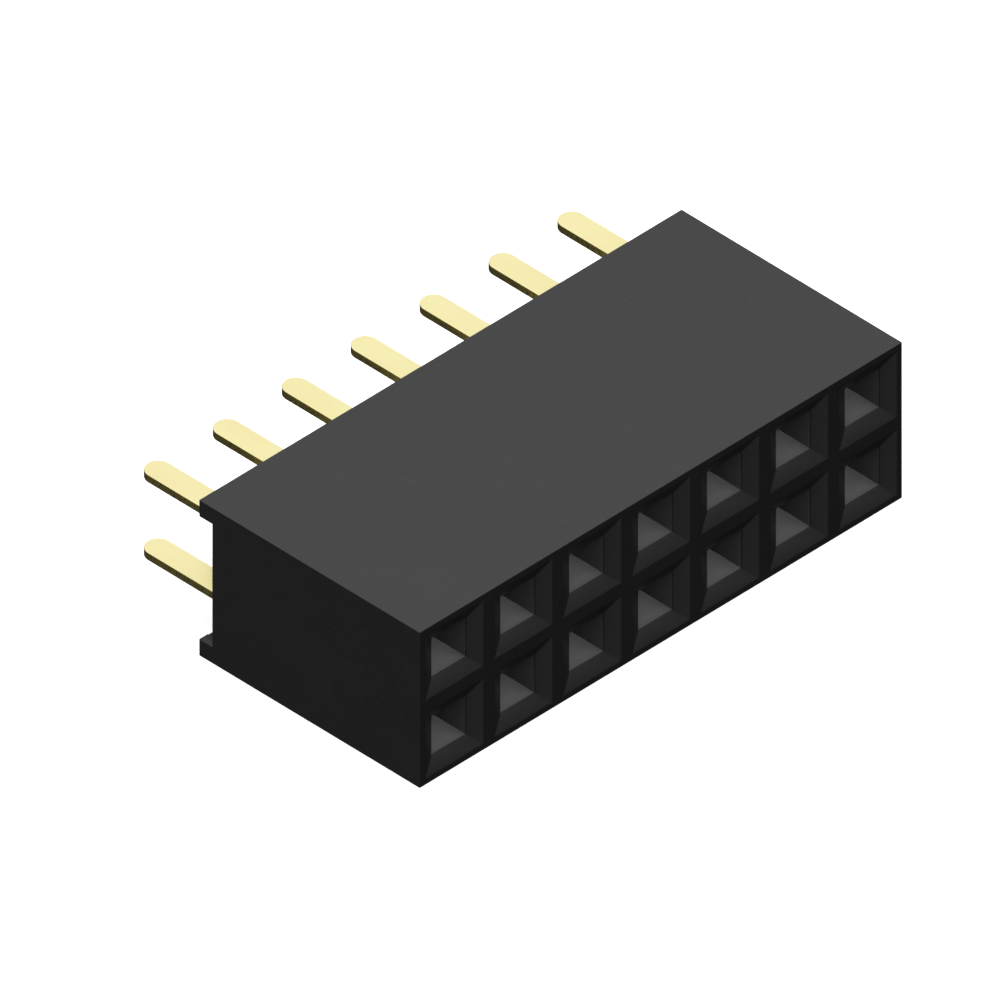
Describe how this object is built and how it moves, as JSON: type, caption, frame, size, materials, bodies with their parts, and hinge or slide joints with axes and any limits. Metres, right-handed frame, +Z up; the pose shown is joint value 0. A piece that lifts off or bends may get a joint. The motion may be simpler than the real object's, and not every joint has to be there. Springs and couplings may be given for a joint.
{
  "type": "female pin header strip",
  "caption": "Black rectangular socket strip with rows of square funnelled pin holes, spring contacts inside and straight flat solder tails.",
  "frame": {"origin": "middle of the footprint on the lower long side, with the strip lying on that side", "axes": "+X along the rows, -Y out of the sockets, +Y out of the solder tails, +Z up across the rows"},
  "size_m": [0.0178, 0.0112, 0.0051],
  "materials": {
    "housing_plastic": "black glass-filled moulding, fine matt grain",
    "contact_metal": "thin gold plating over rolled and stamped strip, satin"
  },
  "bodies": {
    "root": {"housing": "housing_plastic", "contact_a1": "contact_metal", "contact_a2": "contact_metal", "contact_a3": "contact_metal", "contact_a4": "contact_metal", "contact_a5": "contact_metal", "contact_a6": "contact_metal", "contact_a7": "contact_metal", "contact_b1": "contact_metal", "contact_b2": "contact_metal", "contact_b3": "contact_metal", "contact_b4": "contact_metal", "contact_b5": "contact_metal", "contact_b6": "contact_metal", "contact_b7": "contact_metal"}
  },
  "joints": []
}
